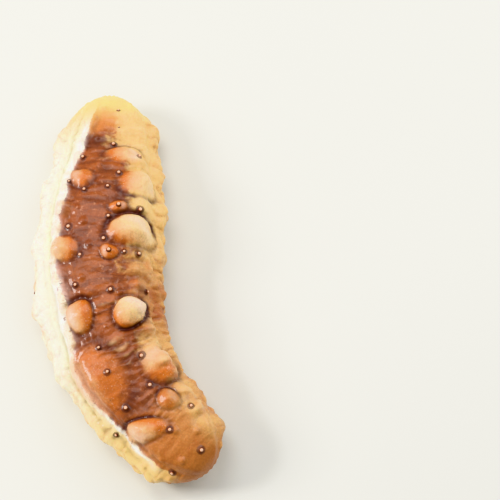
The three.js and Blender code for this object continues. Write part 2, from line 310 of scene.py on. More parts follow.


# Large warts: distance along, angle round, length along the body, breadth across it and height in
# millimetres, how round it is (0 is a soft hill, 1 a ball), how pale against the back, its tone
# from orange (0) to cream (1), how deep the crease beside it, which is also darkened as painted shade, the
# side of the crease, the side on which the wart is warmer (0 is the outer side, 90 the tail's), partly its
# own tone and partly painted shade, and the angle by which it lies askew
WARTS = (
    (51, 118, 17, 36, 5.0, 0.30, 0.9, 0.42, 1.5, 80, 180, 37),
    (56, 80, 17, 17, 4.0, 0.30, 0.5, 0.05, 1.1, 120, 0, 0),
    (84, 54, 32, 32, 6.0, 0.15, 0.85, 0.40, 0.9, -90, -90, 0),
    (100, 126, 66, 44, 5.0, 0.15, 0.6, 0.12, 0.5, 180, 180, 0),
    (118, 46, 14, 16, 3.0, 0.10, 0.4, 0.55, 0.2, 90, 0, 0),
    (139, 68, 24, 26, 8.5, 0.90, 1.0, 0.95, 2.0, -130, -40, 0),
    (146, 110, 26, 22, 7.0, 0.55, 0.9, 0.36, 2.1, 70, 180, 0),
    (183, 30, 20, 18, 3.0, 0.00, 0.4, 0.50, 0.2, 90, 0, 0),
    (194, 84, 12, 15, 4.0, 0.35, 0.9, 0.00, 0.9, -90, 180, 0),
    (198, 120, 22, 24, 5.5, 0.20, 0.9, 0.45, 0.5, 180, 180, 0),
    (214, 61, 28, 37, 6.5, 0.30, 1.0, 0.95, 1.7, 80, -50, 0),
    (230, 125, 18, 18, 2.5, 0.00, 0.2, 0.10, 0.2, 90, 0, 0),
    (233, 78, 11, 15, 3.5, 0.25, 0.9, 0.00, 0.9, -90, 0, 0),
    (257, 52, 25, 36, 5.0, 0.15, 0.9, 0.90, 1.0, -90, 0, 0),
    (259, 108, 18, 21, 4.5, 0.10, 0.9, 0.10, 0.9, -90, 180, 0),
    (282, 74, 17, 32, 4.5, 0.20, 1.0, 0.60, 0.8, 70, 0, 0),
)

# The warts that have a pale tip like a ringed papilla's, by their place in the list, and the tip's size
TIPPED_WARTS = (8, 12)
TIP_ON_WART = 1.1

# Hollows of the back, sunk and darkened with painted shade: distance along, angle round, length, breadth and
# strength
HOLLOWS = (
    (295, 98, 15, 28, 1.1),
    (157, 101, 7, 30, 1.0),
    (267, 88, 12, 20, 0.9),
    (120, 66, 22, 26, 0.8),
    (112, 98, 60, 16, 0.6),
    (186, 104, 30, 26, 0.5),
    (229, 62, 9, 38, 1.0),
    (240, 84, 9, 40, 0.7),
    (198, 100, 34, 18, 0.5),
    (197, 53, 8, 17, 0.9),
    (158, 46, 9, 15, 0.9),
    (124, 48, 8, 16, 0.6),
    (73, 74, 14, 30, 0.6),
    (64, 98, 16, 26, 0.5),
    (247, 98, 20, 30, 0.4),
)

# How pale the hollow side is, for each distance along the body in millimetres: its own tone, darkened at the
# bend by painted shade
EDGE_TONE = (
    (0, 0.40), (60, 0.45), (105, 0.65), (135, 0.20), (165, 0.15), (190, 0.60), (220, 0.95), (346, 1.1),
)

# Blunt papillae of the lower edges: angle, first place and spacing of each row, then their length,
# breadth, height and flatness, where the rows end before the tail's tip, and their size at the body's ends
FRINGE_ROWS = ((6, 19, 37), (174, 28, 46))
FRINGE_SIZE = (32, 20, 4.6, 0.35)
FRINGE_END = 24
FRINGE_AT_ENDS = 0.7

# Small papillae of the back: the angle of each row, where the rows start and end before the tips, the
# spacing, how far the places scatter along and round, the smallest size and how much is added to it, the
# seed, and the width that they have in the solids, half of which they keep off the warts
SMALL_ROWS = (34, 55, 76, 97, 118, 139)
SMALL_START = 20
SMALL_END = 12
SMALL_SPACING = 27
SMALL_SCATTER = (12, 9)
SMALL_SIZES = (0.85, 0.3)
SMALL_SEED = 7
SMALL_SOLID_WIDTH = 5.6

# Finer papillae that only the skin has: how many are tried, how far apart they stay in millimetres, the
# seed, and the first and last angle. Then how far they keep off the tips and the warts, and their sizes
FINE_BACK = (150, 9.5, 19, 30, 128)
FINE_FLANKS = ((420, 9.0, 23, 135, 215), (420, 9.0, 23, -38, 30))
FINE_ENDS = (12, 10)
FINE_OFF_WARTS = 1
FINE_SIZES = (0.35, 0.6)

# The angles between which, and the angle past which, every second papilla of the flanks is ringed
RINGED_OUTER = (190, 207)
RINGED_HOLLOW = 322

# The ringed papillae that the photograph shows: where each is in its pixels, and how large. Each is
# looked for on the skin between these places, in millimetres off the tips, and angles
SEARCHED_ENDS = (4, 2)
SEARCHED_ANGLES = (20, 190)
SEEN_PAPILLAE = (
    (118, 111, 0.6), (119, 128, 0.4), (114, 145, 1.0), (83, 158, 0.9), (139, 158, 0.8), (119, 173, 1.0),
    (69, 182, 0.6), (84, 189, 0.9), (107, 187, 0.9), (140, 210, 1.1), (108, 216, 0.9), (68, 226, 1.1),
    (103, 238, 1.0), (124, 252, 0.8), (138, 254, 1.0), (80, 254, 0.9), (75, 285, 0.9), (111, 290, 1.1),
    (145, 292, 0.8), (99, 348, 0.8), (141, 356, 1.1), (109, 372, 0.9), (150, 385, 1.1), (126, 408, 1.1),
    (117, 435, 0.8), (191, 406, 0.9), (170, 430, 1.0), (200, 450, 1.1), (172, 472, 1.0),
)


class Draw:
    """A seeded draw of numbers between 0 and 1, the same as in the solids."""

    def __init__(self, seed):
        self.state = seed

    def __call__(self):
        self.state = (1664525 * self.state + 1013904223) % 4294967296
        return self.state / 4294967296


def fringe_papillae(loaf):
    """Place and size of each blunt papilla of the lower edges, in millimetres."""
    length = loaf.body.length / MM
    for around, first, spacing in FRINGE_ROWS:
        along = first
        while along < length - FRINGE_END:
            grown = blend(FRINGE_AT_ENDS, 1, math.sin(math.pi * along / length))
            long, broad, high, sink = FRINGE_SIZE
            yield along, around, long * grown, broad * grown, high * grown, sink
            along += spacing


def on_a_wart(loaf, here, room):
    """Whether this place is on a large wart or nearer to one than the room it needs."""
    return any(
        np.linalg.norm(here - loaf.surface(np.float64(wart[0] * MM), wart[1]))
        < (max(wart[2], wart[3]) / 2 + room) * MM
        for wart in WARTS
    )


def small_papillae(loaf):
    """Place and relative size of each small papilla of the back, clear of the large warts."""
    draw = Draw(SMALL_SEED)
    length = loaf.body.length / MM
    found = []
    for index, row in enumerate(SMALL_ROWS):
        step = SMALL_START + (index % 2) * SMALL_SPACING / 2
        while step < length - SMALL_END:
            along = step + SMALL_SCATTER[0] * (draw() - 0.5)
            around = row + SMALL_SCATTER[1] * (draw() - 0.5)
            grown = SMALL_SIZES[0] + SMALL_SIZES[1] * draw()
            here = loaf.surface(np.float64(along * MM), around)
            if not on_a_wart(loaf, here, SMALL_SOLID_WIDTH / 2):
                found.append((along, around, grown))
            step += SMALL_SPACING
    return found


def fine_papillae(loaf, tries, apart, seed, low, high, taken):
    """Seeded places between two angles, clear of each other, of the warts and of what is taken."""
    draw = Draw(seed)
    length = loaf.body.length / MM
    full = [loaf.surface(np.float64(along * MM), around) for along, around, _ in taken]
    found = []
    for _ in range(tries):
        along = blend(FINE_ENDS[0], length - FINE_ENDS[1], draw())
        around = blend(low, high, draw())
        grown = FINE_SIZES[0] + FINE_SIZES[1] * draw() ** 1.5
        here = loaf.surface(np.float64(along * MM), around % 360)
        free = min(np.linalg.norm(here - other) for other in full) > apart * MM
        if free and not on_a_wart(loaf, here, FINE_OFF_WARTS):
            full.append(here)
            found.append((along, around % 360, grown))
    return found


def view_of(stage):
    """The camera's right, up and backward directions, and its distance from where it looks."""
    azimuth, elevation = stage.azimuth, stage.elevation
    level = math.cos(elevation)
    back = Vector((math.sin(azimuth) * level, -math.cos(azimuth) * level, math.sin(elevation)))
    right = Vector((math.cos(azimuth), math.sin(azimuth), 0))
    return right, back.cross(right), back, stage.lens / SENSOR_WIDTH * PHOTO_WIDTH * stage.pixel


def seen_papillae(loaf, stage):
    """Place and size of each papilla in the photograph, found on the smooth skin through the camera."""
    right, up, back, distance = view_of(stage)
    camera = np.array((stage.look_x, stage.look_y, 0)) + np.array(back) * distance
    first, last = SEARCHED_ENDS
    places = np.arange(first, loaf.body.length / MM - last)
    along, around = np.meshgrid(places, np.arange(*SEARCHED_ANGLES), indexing="ij")
    ray = loaf.surface(along * MM, around) - camera
    hidden = np.einsum("ijk,ijk->ij", loaf.lie(along * MM, around)[1], ray) > 0
    scale = -stage.lens / SENSOR_WIDTH * PHOTO_WIDTH / (ray @ np.array(back))
    x = PHOTO_WIDTH / 2 + ray @ np.array(right) * scale
    y = PHOTO_WIDTH / 2 - ray @ np.array(up) * scale
    for seen_x, seen_y, grown in SEEN_PAPILLAE:
        nearest = np.argmin(np.hypot(x - seen_x, y - seen_y) + PHOTO_WIDTH * hidden)
        yield float(along.flat[nearest]), float(around.flat[nearest]), grown


def all_papillae(loaf, stage):
    """The ringed papillae with a pale tip, the low ones of the back, and the plain ones of the flanks."""
    seen = list(seen_papillae(loaf, stage))
    small = small_papillae(loaf)
    low = small + fine_papillae(loaf, *FINE_BACK, small + seen)
    flanks = [spot for spread in FINE_FLANKS for spot in fine_papillae(loaf, *spread, low)]
    first, last = RINGED_OUTER
    ringed = [spot for spot in flanks if first < spot[1] < last or spot[1] > RINGED_HOLLOW][::2]
    plain = [spot for spot in flanks if spot not in ringed]
    return seen + ringed, low, plain


# Blender helpers

def deselect_all():
    if bpy.context.object and bpy.context.object.mode != "OBJECT":
        bpy.ops.object.mode_set(mode="OBJECT")
    bpy.ops.object.select_all(action="DESELECT")


def pick(*pieces):
    """Selects these objects and nothing else, and makes the first one active."""
    deselect_all()
    for piece in pieces:
        piece.select_set(True)
    bpy.context.view_layer.objects.active = pieces[0]


def turned(name, profile, sides):
    """A round closed form round Z, whose outline is pairs of radius and height in millimetres, from root
    to tip."""
    deselect_all()
    (radius, height), *steps = [(wide * MM, high * MM) for wide, high in profile]
    bpy.ops.mesh.primitive_circle_add(
        vertices=sides, radius=radius, fill_type="NGON", location=(0, 0, height)
    )
    piece = bpy.context.object
    piece.name = name
    bpy.ops.object.transform_apply(location=True, rotation=True, scale=True)
    bpy.ops.object.mode_set(mode="EDIT")
    bpy.ops.mesh.select_all(action="SELECT")
    for wider, higher in steps:
        bpy.ops.mesh.extrude_region_move(TRANSFORM_OT_translate={"value": (0, 0, higher - height)})
        ratio = wider / radius
        bpy.ops.transform.resize(value=(ratio, ratio, 1), center_override=(0, 0, higher))
        radius, height = wider, higher
    bpy.ops.mesh.select_all(action="SELECT")
    bpy.ops.mesh.normals_make_consistent(inside=False)
    bpy.ops.object.mode_set(mode="OBJECT")
    return piece


def copies(name, model, matrices):
    """One object that holds a copy of the model's mesh at each matrix. The model itself is removed."""
    deselect_all()
    made = []
    for matrix in matrices:
        piece = model.copy()
        piece.data = model.data.copy()
        piece.data.transform(matrix)
        bpy.context.collection.objects.link(piece)
        made.append(piece)
    bpy.data.objects.remove(model)
    return joined(name, made)


def joined(name, made):
    """The given objects as one."""
    pick(*made)
    if len(made) > 1:
        bpy.ops.object.join()
    piece = bpy.context.object
    piece.name = piece.data.name = name
    return piece


def apply_subdivision(piece, levels):
    """Rounds a piece off by subdivision, applied to its mesh."""
    pick(piece)
    modifier = piece.modifiers.new("Round", "SUBSURF")
    modifier.levels = modifier.render_levels = levels
    bpy.ops.object.modifier_apply(modifier=modifier.name)


def vertex_places(piece):
    return np.array([vertex.co for vertex in piece.data.vertices], dtype=float)


def move_vertices(piece, places):
    piece.data.vertices.foreach_set("co", places.astype(np.float32).ravel())
    piece.data.update()


def pleat(piece, pleats, depth, ends, lowest, uneven=0):
    """Folds the top of a piece made round Z into pleats that run out from its middle, and returns how far
    out each vertex is. Lengths are in millimetres, and what is below the lowest level stays as it is."""
    places = vertex_places(piece)
    turn = np.arctan2(places[:, 1], places[:, 0])
    far = np.hypot(places[:, 0], places[:, 1])
    fold = depth * MM * np.cos(pleats * turn + uneven * np.sin(3 * turn)) * smooth(far / MM, *ends)
    places[:, 2] += np.where(places[:, 2] > lowest * MM, fold, 0)
    move_vertices(piece, places)
    return far


def basis(across, out, forward, place):
    """A matrix that stands a piece made round +Z on the skin."""
    return Matrix((
        (across[0], forward[0], out[0], place[0]),
        (across[1], forward[1], out[1], place[1]),
        (across[2], forward[2], out[2], place[2]),
        (0, 0, 0, 1),
    ))


def grain(points, feature, seed):
    """Smooth noise from about -1 to 1, with bumps as large as feature in millimetres."""
    apart = 13.7
    moved = points / (feature * MM) + apart * seed
    return np.array([noise.noise(place) for place in moved.tolist()])


def finish_piece(piece, material, nodes=()):
    """What every finished piece needs: its material, its body and what it stands for."""
    pick(piece)
    bpy.ops.object.shade_smooth()
    piece.data.materials.clear()
    piece.data.materials.append(material)
    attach(piece, "root")
    if nodes:
        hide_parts(*nodes)


# Materials

class Field:
    """An output socket. Python's operators on it add Math nodes."""

    def __init__(self, paint, socket):
        self.paint = paint
        self.socket = socket

    def maths(self, operation, *values):
        return self.paint.node("ShaderNodeMath", {"operation": operation}, dict(enumerate(values)))

    def __add__(self, other):
        return self.maths("ADD", self, other)

    def __sub__(self, other):
        return self.maths("SUBTRACT", self, other)

    def __rsub__(self, other):
        return self.maths("SUBTRACT", other, self)

    def __mul__(self, other):
        return self.maths("MULTIPLY", self, other)

    def __neg__(self):
        return self.maths("MULTIPLY", self, -1)

    def __abs__(self):
        return self.maths("ABSOLUTE", self)

    __radd__ = __add__
    __rmul__ = __mul__


class Paint:
    """A material under construction."""

    def __init__(self, name):
        self.material = bpy.data.materials.new(name)
        self.material.use_nodes = True
        self.tree = self.material.node_tree
        self.tree.nodes.clear()

    def node(self, kind, settings=None, sockets=None, output=0):
        """Adds a node of this kind, sets it and its sockets, and returns one of its outputs."""
        node = self.tree.nodes.new(kind)
        for key, value in (settings or {}).items():
            setattr(node, key, value)
        for key, value in (sockets or {}).items():
            if isinstance(value, Field):
                self.tree.links.new(value.socket, node.inputs[key])
            else:
                node.inputs[key].default_value = value
        return Field(self, node.outputs[output]) if len(node.outputs) else node

    def attribute(self, name, output="Fac"):
        return self.node("ShaderNodeAttribute", {"attribute_name": name}, output=output)

    def place(self):
        return self.node("ShaderNodeTexCoord", output="Object")

    def noise(self, feature, where, detail=3, stretch=(1, 1, 1), distortion=0):
        """Noise from 0 to 1 with features of about this size, in metres."""
        return self.node("ShaderNodeTexNoise", sockets={
            "Vector": self.node("ShaderNodeMapping", sockets={"Vector": where, "Scale": stretch}),
            "Scale": 1 / feature, "Detail": detail, "Roughness": 0.55, "Distortion": distortion,
        })

    def cells(self, feature, where):
        """Distance from the middle of a cell, for cells of about this size in metres."""
        return self.node("ShaderNodeTexVoronoi", sockets={"Vector": where, "Scale": 1 / feature})

    def between(self, value, low, high):
        """0 where value is below low, 1 above high, and an even slope between them."""
        return self.node("ShaderNodeMapRange", {"interpolation_type": "SMOOTHSTEP"}, {
            "Value": value, "From Min": low, "From Max": high,
        })

    def mix(self, mask, low, high):
        """The colour low where mask is 0 and high where it is 1."""
        ends = [value if isinstance(value, Field) else (*value, 1) for value in (low, high)]
        return self.node(
            "ShaderNodeMix", {"data_type": "RGBA"}, {0: mask, 6: ends[0], 7: ends[1]}, output=2
        )

    def layers(self, base, *laid):
        """Colours laid one over the other, each given with the mask that it shows by."""
        for mask, tint in laid:
            base = self.mix(mask, base, tint)
        return base

    def bump(self, height, distance, strength, under=None):
        sockets = {"Height": height, "Distance": distance, "Strength": strength}
        if under:
            sockets["Normal"] = under
        return self.node("ShaderNodeBump", sockets=sockets)

    def finish(self, base, roughness, normal, constants):
        """Joins the colour, roughness and normal to the shader, whose other sockets take constants."""
        sockets = {"Base Color": base, "Roughness": roughness, **constants}
        if normal:
            sockets["Normal"] = normal
        shader = self.node("ShaderNodeBsdfPrincipled", {"subsurface_method": "RANDOM_WALK"}, sockets)
        self.node("ShaderNodeOutputMaterial", sockets={"Surface": shader})
        return self.material


# What all the flesh has in common: light enters it a little
FLESH = {"Subsurface Weight": 0.15, "Subsurface Scale": 1.0}


def skin_material(colours):
    paint = Paint("wet_skin")
    between = paint.between
    mark = paint.attribute
    unbent = mark("unbent", "Vector")
    wart = mark("wart")
    relief = mark("relief")
    ridge_highlight = mark("ridge_highlight")
    under = mark("under")
    on_side = mark("flank")

    # Patterns that follow the body, with the size of their features in metres
    broad = paint.noise(0.034, unbent, detail=2)
    cloud = paint.noise(0.013, unbent, detail=4, distortion=0.8)
    fine = paint.noise(0.0034, unbent, detail=3)
    streak = paint.noise(0.010, unbent, detail=3, stretch=(0.4, 0.4, 1.5), distortion=0.5)
    wrinkle = paint.noise(0.0034, unbent, detail=4, stretch=(0.35, 0.35, 1.3), distortion=0.6)
    grit = paint.noise(0.0011, unbent, detail=2)
    pebble = 1 - between(paint.cells(0.0015, unbent), 0.1, 0.8)
    blotch = paint.noise(0.019, unbent, detail=4, distortion=1.2)
    line = 1 - between(abs(wrinkle - 0.5), 0.004, 0.022)
    vein = 1 - between(abs(streak - 0.5), 0.003, 0.014)
    gash = 1 - between(abs(streak - 0.5), 0.006, 0.034)
    freckle = 1 - between(paint.cells(0.0045, unbent), 0.05, 0.13)

    # The back, with the head's and the tail's colours at its ends
    head = paint.layers(
        colours.head,
        (between(cloud, 0.48, 0.75) * 0.5, colours.back_warm),
        # Painted light: paler on the hollow side of the head, which the lamps leave in shade
        (mark("head_side_light") * (0.55 + 0.6 * cloud), colours.flank_yellow),
    )
    back = paint.layers(
        colours.back,
        (between(broad, 0.40, 0.62), colours.back_warm),
        (between(streak, 0.47, 0.66) * 0.65, colours.back_dark_and_shade),
        (between(cloud, 0.52, 0.70) * 0.55, colours.back_mauve),
        (between(fine, 0.58, 0.72) * 0.40, colours.fleck),
        (vein * between(cloud, 0.40, 0.60) * 0.55, colours.crease),
        (mark("head"), head),
        (mark("tail"), paint.mix(mark("tail_middle"), colours.tail, colours.tail_warm)),
    )

    # The hollow side of the bend, and the pale outer flank with its mottled foot
    edge_tone = mark("edge_tone") + (cloud - 0.5) * 0.9 + (broad - 0.5) * 0.5
    edge = paint.mix(edge_tone, colours.edge, colours.edge_pale)
    flank = paint.layers(
        colours.flank,
        (between(cloud, 0.50, 0.80) * 0.15, colours.edge_pale),
        (between(fine, 0.52, 0.72) * (0.10 + 0.25 * under), colours.sole_band),
        (under * between(blotch, 0.42, 0.62) * 0.50, colours.sole_band),
        (under * between(blotch, 0.52, 0.66) * (0.1 + 0.6 * cloud), colours.head),
        ((0.08 + 0.55 * under) * line * between(cloud, 0.38, 0.56), colours.head),
        (mark("groove"), colours.flank_shade),
        (mark("yellowing"), colours.flank_yellow),
    )

    # Back, hollow side and flank meet along ragged lines
    on_edge = between(mark("edge") + (cloud - 0.5) * 0.9 + (fine - 0.5) * 0.4, 0.25, 0.8)
    on_flank = between(on_side + (wrinkle - 0.5) * 0.9 + (fine - 0.5) * 0.5, 0.42, 0.58)
    body = paint.layers(
        back,
        (on_edge, edge),
        # Painted shade in the hollows of the back
        (mark("hollow") * (0.45 + 0.7 * cloud), colours.back_dark_and_shade),
        (on_flank, flank),
        (mark("head_tip"), head),
        (mark("tail_tip") * (0.45 + 0.8 * cloud), colours.tail),
        (mark("low") * between(cloud, 0.40, 0.66) * 0.60, colours.sole_band),
        # Painted shade in the creases across the lower flanks
        (mark("fold") * (0.2 + 0.9 * fine), colours.head),
        # Painted shade round the roots of the bumps of the edges
        (mark("stain") * between(cloud, 0.40, 0.62) * 0.50, colours.head),
        (mark("nub") * (0.35 + 0.5 * cloud) * 0.8, colours.nub),
        # Painted highlight along the shoulder's ridge and a line of the lower flank
        (ridge_highlight * (0.7 + 0.8 * fine), colours.ridge_highlight),
    )

    # The warts, and painted shade in their creases
    tone = mark("tone") + (cloud - 0.5) * 0.6
    lump = paint.layers(
        paint.mix(tone, colours.wart_orange, colours.wart_cream_and_light),
        (between(fine, 0.50, 0.66) * 0.30, colours.back_warm),
        # A painted highlight on each wart's bright side
        (mark("glint") * (0.5 + 0.6 * cloud), colours.wart_highlight),
        (between(grit, 0.60, 0.68) * 0.45, colours.tip),
    )
    body = paint.layers(
        body,
        (wart * (0.80 + 0.4 * fine), lump),
        # Painted shade in the creases beside the warts
        (mark("crease") * (0.45 + 0.9 * cloud), colours.crease),
        (mark("tick") * gash * between(fine, 0.46, 0.56) * 0.8, colours.back_mauve),
        # Painted shade in the grooves between the granules
        ((1 - pebble) * (1 - 0.7 * on_side) * 0.16, colours.back_dark_and_shade),
    )

    # Painted shade in the hollows and painted light on what stands out, then the sole, the mouth's pit and
    # the rings
    sole = paint.mix(mark("foot_band") * (0.5 + cloud), colours.sole, colours.sole_band)
    ragged = mark("ring_distance") + (fine - 0.5) * 0.0012 + (grit - 0.5) * 0.0006
    dark_ring = between(ragged, 0.0006, 0.0012) * (1 - between(ragged, 0.0026, 0.0039))
    body = paint.layers(
        body,
        (between(-relief, 0.15, 1.0) * (0.45 - 0.42 * wart), colours.back_dark_and_shade),
        (between(relief, 0.25, 1.0) * 0.30, colours.wart_cream_and_light),
        (mark("sole"), sole),
        (mark("pit") * 0.7, colours.mouth),
        (freckle * between(cloud, 0.5, 0.62) * (1 - on_side) * 0.6, colours.ring),
        (dark_ring * (0.55 + 0.4 * cloud), colours.ring),
    )

    normal = paint.bump(wrinkle * (1 - 0.65 * wart), 0.0011, 0.48)
    normal = paint.bump(pebble, 0.0003, 0.34, under=normal)
    normal = paint.bump(grit, 0.0004, 0.30, under=normal)
    roughness = 0.36 + 0.24 * cloud + 0.14 * fine - 0.14 * ridge_highlight - 0.10 * wart
    return paint.finish(body, roughness, normal, {
        **FLESH, "Subsurface Radius": (0.006, 0.0025, 0.0012),
        "Specular IOR Level": 0.35, "Coat Weight": 0.33, "Coat Roughness": 0.12,
    })


def tip_material(colours):
    paint = Paint("papilla_tip")
    high = paint.attribute("high") + (paint.noise(0.0010, paint.place()) - 0.5) * 0.5
    base = paint.layers(
        colours.ring,
        (paint.between(high, 0.0, 0.35), colours.back_warm),
        (paint.between(high, 0.35, 0.80), colours.tip),
    )
    roughness = 0.55 + 0.15 * paint.noise(0.0015, paint.place())
    return paint.finish(base, roughness, None, {
        **FLESH, "Subsurface Radius": (0.002, 0.001, 0.0008),
        "Specular IOR Level": 0.3, "Coat Weight": 0.08, "Coat Roughness": 0.3,
    })


def soft_material(name, low, high, feature):
    """Moist pale flesh, between two colours from a piece's hollows to its tips."""
    paint = Paint(name)
    speckle = paint.noise(feature, paint.place(), detail=3)
    raised = paint.attribute("high") + (speckle - 0.5) * 0.5
    base = paint.mix(paint.between(raised, 0.15, 0.85), low, high)
    normal = paint.bump(speckle, feature * 0.4, 0.4)
    roughness = 0.34 + 0.2 * speckle
    return paint.finish(base, roughness, normal, {
        **FLESH, "Subsurface Radius": (0.004, 0.002, 0.001),
        "Coat Weight": 0.4, "Coat Roughness": 0.15,
    })


def set_attribute(piece, name, values):
    layer = piece.data.attributes.new(name, "FLOAT", "POINT")
    layer.data.foreach_set("value", np.asarray(values, np.float32))


def set_height_attribute(piece, low, high):
    """The share of the way from low to high, along the piece's own Z, in millimetres."""
    levels = vertex_places(piece)[:, 2] / MM
    set_attribute(piece, "high", np.clip((levels - low) / (high - low), 0, 1))


# The skin

# The mouth and the vent: distance along, angle round, radius of the pit, its depth, the height of
# its lip, and how many pleats lie round it
MOUTH = (13, 270, 14.2, 6.5, 1.2, 22)
VENT = (346, 0, 6.4, 7.0, 1.0, 13)

# Where the pale outer flank begins, as an angle for each distance along the body in millimetres
BRIM = (
    (0, 165), (40, 150), (98, 147), (116, 140), (134, 125), (160, 120),
    (182, 125), (215, 130), (260, 122), (310, 112), (346, 104),
)

# Rolls and grooves along the body: their middle and spread in degrees, and their height in millimetres.
# The ridge, its foot and the flank's grooves are counted from the brim, the other two round the section
RIDGE = (4, 6, 1.6)
RIDGE_FOOT = (-8, 5.5, -1.0)
FLANK_GROOVES = ((19, 4.5, -1.3), (35, 4.0, -0.7), (49, 4.5, -0.9))
HOLLOW_ROLL = (36, 13, 0.9)
GATHERS = (52, 20, 1.0)

# The length in millimetres of the waves of the ridge's swelling, of the gathers, of the folds across the
# back and those in the bend, and of the creases across the flanks
SWELL_LENGTH = 21
GATHER_LENGTH = 17
FOLD_LENGTH = 7.5
BEND_FOLD_LENGTH = 9
CREASE_LENGTH = 22

# The height in millimetres of the slow, the quick and the fine lumps, of the two kinds of folds, of the
# creases, and of a hollow of strength 1. Then the height that counts as full relief for the painted shade
# and light
LUMP_HEIGHTS = (0.9, 0.55, 0.24)
FOLD_HEIGHT = 0.33
BEND_FOLD_HEIGHT = 0.55
CREASE_DEPTH = 0.9
HOLLOW_DEPTH = 1.3
FULL_RELIEF = 1.6

# A patch: how far past its rim it reaches. A ball: how deep it sits, and how far it bulges past its foot.
# A crease beside a wart: its middle and width as shares of the wart's radius, then its depth. The pleats
# in it: their middle and width, how much rim each takes, and their depth
PATCH_REACH = 1.6
BALL_SINK = 0.12
BALL_BULGE = 1.25
CREASE_BESIDE = (1.10, 0.15)
CREASE_BESIDE_DEPTH = 0.9
PLEATS_BESIDE = (1.15, 0.22)
PLEAT_WIDTH = 3.2
PLEAT_DEPTH = 0.3

# Bumps round each blunt papilla of the edges: where each is along it and its width, then its angle for
# each row. Their height is a share of their width
FRINGE_BUMPS = ((0, 15), (0.55, 11), (-0.5, 9))
FRINGE_BUMP_ANGLES = {6: (354, 359, 6), 174: (186, 191, 174)}
FRINGE_BUMP_RISE = 0.17

# The skin round a ringed papilla that may take the ring's colour, in millimetres
RING_PATCH = 18

# How far down the skin may come, as a share of the feet's length
LOWEST_SKIN = 0.5


def waves(place, length, sway):
    """Waves along the body, from -1 to 1, shifted by the angle sway."""
    return np.sin(place * 2 * np.pi / length + sway)


class Skin:
    """The vertices of the skin while they are shaped: where they are, and what colours them."""

    MARKS = ("wart", "tone", "glint", "crease", "hollow", "nub", "pit", "stain")

    def __init__(self, loaf, along, around):
        self.loaf = loaf
        self.along = along
        self.around = around
        self.place = along / MM
        self.full = loaf.section(along)[3]
        self.upper = smooth(np.sin(np.radians(around)), -0.1, 0.3)
        self.base = loaf.surface(along, around)
        self.out = loaf.lie(along, around)[1]
        self.moved = np.zeros_like(self.base)
        for mark in self.MARKS:
            setattr(self, mark, np.zeros(len(along)))
        self.ring = np.full(len(along), 1.0)
        self.slow = grain(self.base, 26, 1)
        self.quick = grain(self.base, 9, 2)
        self.fine = grain(self.base, 3.6, 3)
        self.wander = 5 * grain(self.base, 20, 5) + 2.5 * grain(self.base, 6, 6)
        self.past_brim = around + self.wander - np.interp(self.place, *zip(*BRIM))

    def push(self, distance):
        """Moves the skin outwards by a distance for each vertex, in millimetres."""
        self.moved += (distance * MM)[:, None] * self.out

    def push_patch(self, near, out, distance):
        """Moves a patch one way by a distance for each of its vertices, in millimetres."""
        self.moved[near] += np.outer(distance * MM, out)

    def mark(self, name, near, strength):
        """Raises one of the marks to this strength where it is weaker."""
        field = getattr(self, name)
        field[near] = np.maximum(field[near], strength)

    def patch(self, along_mm, around, long, broad, seed=None, askew=0):
        """The vertices near a spot: which they are, where they lie flat in the patch, how far out and in
        which direction, and the way out of the skin there.

        The distance is 1 on the patch's rim, which is a little uneven if it has a seed."""
        centre, across, out, forward = self.loaf.spot(along_mm, around)
        gap = self.base - centre
        reach = PATCH_REACH * max(long, broad) / 2 * MM
        near = np.flatnonzero((np.einsum("ij,ij->i", gap, gap) < reach**2) & (self.out @ out > -0.2))
        gap = gap[near]
        twist = math.radians(askew)
        u = gap @ (across * math.cos(twist) + forward * math.sin(twist)) / (broad / 2 * MM)
        v = gap @ (forward * math.cos(twist) - across * math.sin(twist)) / (long / 2 * MM)
        direction = np.arctan2(v, u)
        t = np.hypot(u, v)
        if seed is not None:
            t = t * (1 + 0.07 * np.sin(2 * direction + seed) + 0.05 * np.sin(3 * direction + 2.3 * seed))
        return near, gap - np.outer(gap @ out, out), t, direction, out

    def raise_mound(self, along_mm, around, long, broad, high, ball, seed=None, askew=0):
        """Blows up a patch into a soft hill, or the more into a ball the nearer ball is to 1."""
        near, flat, t, direction, out = self.patch(along_mm, around, long, broad, seed, askew)
        widest = math.acos(BALL_SINK)
        swing = np.minimum(t, 1) * widest
        round_rise = (np.cos(swing) - BALL_SINK) / (1 - BALL_SINK)
        round_spread = np.where(t > 1e-6, np.sin(swing) / math.sin(widest) / np.maximum(t, 1e-6), 1)
        soft_rise = np.exp(-2.2 * t**3) * (1 - smooth(t, 1.0, 1.45))
        rise = blend(soft_rise, np.where(t < 1, round_rise, 0), ball)
        spread = np.where(t < 1, blend(1, np.clip(round_spread, 1, BALL_BULGE), ball), 1)
        self.moved[near] += (spread - 1)[:, None] * flat
        self.push_patch(near, out, rise * high)
        return near, t, direction

    def crease_beside(self, near, t, direction, size, depth, side):
        """Sinks a pleated crease into the rim of a mound, deepest on one side, and marks it for painted
        shade.
        """
        facing = np.cos(direction - math.radians(side))
        groove = hump(t, *CREASE_BESIDE) * (0.35 + 0.65 * smooth(facing, -0.3, 0.8)) * depth
        pleats = round(size / PLEAT_WIDTH)
        fold = np.cos(pleats * direction + 2 * np.sin(3 * direction)) * hump(t, *PLEATS_BESIDE)
        sunk = groove * CREASE_BESIDE_DEPTH + PLEAT_DEPTH * fold
        self.moved[near] -= (sunk * MM)[:, None] * self.out[near]
        self.mark("crease", near, np.minimum(groove, 1.3))


